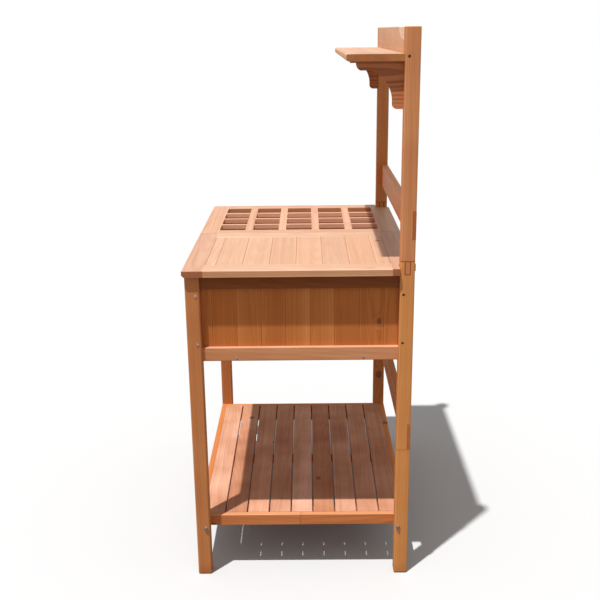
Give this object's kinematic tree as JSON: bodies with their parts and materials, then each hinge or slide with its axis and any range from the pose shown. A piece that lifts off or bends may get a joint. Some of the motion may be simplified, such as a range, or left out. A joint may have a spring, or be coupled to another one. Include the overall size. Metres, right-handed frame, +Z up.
{
  "type": "potting bench",
  "caption": "Stained fir potting bench with a lift-off planked and lattice worktop over a boarded bin, a slatted lower shelf and a small bracketed shelf between tall rear posts.",
  "frame": {"origin": "on the floor under the middle of the bench", "axes": "+X towards the planked end, -Y the side the user stands at, +Z up"},
  "size_m": [0.92, 0.612, 1.5],
  "materials": {
    "stained_fir": "reddish brown stained fir, satin",
    "fir_boards": "reddish brown stained matched boards, satin",
    "worktop_fir": "lighter stained fir, satin",
    "shelf_fir": "stained fir slats, matt",
    "zinc_steel": "bright zinc plate",
    "dark_steel": "blackened bolt heads"
  },
  "bodies": {
    "bench": {"front_leg_right": "stained_fir", "front_leg_left": "stained_fir", "rear_leg_right": "stained_fir", "rear_leg_left": "stained_fir", "upper_post_right": "stained_fir", "upper_post_left": "stained_fir", "end_top_rail_right": "stained_fir", "end_top_rail_left": "stained_fir", "end_bottom_rail_right": "stained_fir", "end_bottom_rail_left": "stained_fir", "end_planks_right": "fir_boards", "end_planks_left": "fir_boards", "front_stiles": "stained_fir", "front_top_rail": "stained_fir", "front_bottom_rail": "stained_fir", "front_planks": "fir_boards", "back_stiles": "stained_fir", "back_top_rail": "stained_fir", "back_bottom_rail": "stained_fir", "back_planks": "fir_boards", "floor_bearers": "stained_fir", "floor_boards": "fir_boards", "shelf_front_rail": "shelf_fir", "shelf_back_rail": "shelf_fir", "shelf_end_rail_right": "shelf_fir", "shelf_end_rail_left": "shelf_fir", "shelf_bearers": "shelf_fir", "shelf_slats": "shelf_fir", "lower_back_rail": "stained_fir", "splash_board": "stained_fir", "header_board": "stained_fir", "upper_shelf_board": "stained_fir", "shelf_bracket_right": "stained_fir", "shelf_bracket_left": "stained_fir", "front_panel_bolts": "zinc_steel", "rear_panel_bolts": "dark_steel", "header_bolts": "dark_steel", "shelf_bolts": "dark_steel", "shelf_bolt_washers": "zinc_steel", "shelf_bolt_nuts": "zinc_steel", "floor_screws": "zinc_steel", "back_board_screws": "zinc_steel"},
    "plank_top": {"plank_top_front_rail": "worktop_fir", "plank_top_back_rail": "worktop_fir", "plank_top_end_rail": "worktop_fir", "plank_top_mid_rail": "worktop_fir", "plank_top_planks": "fir_boards", "plank_top_battens": "worktop_fir"},
    "lattice_top": {"lattice_top_front_rail": "worktop_fir", "lattice_top_back_rail": "worktop_fir", "lattice_top_end_rail": "worktop_fir", "lattice_top_mid_rail": "worktop_fir", "lattice_long_bars": "worktop_fir", "lattice_cross_bars": "worktop_fir", "lattice_top_batten": "worktop_fir"}
  },
  "joints": [
    {"name": "plank_top_lift", "type": "slide", "parent": "bench", "child": "plank_top", "axis": [0, 0, 1], "range_m": [0, 0.07]},
    {"name": "lattice_top_lift", "type": "slide", "parent": "bench", "child": "lattice_top", "axis": [0, 0, 1], "range_m": [0, 0.07]}
  ]
}
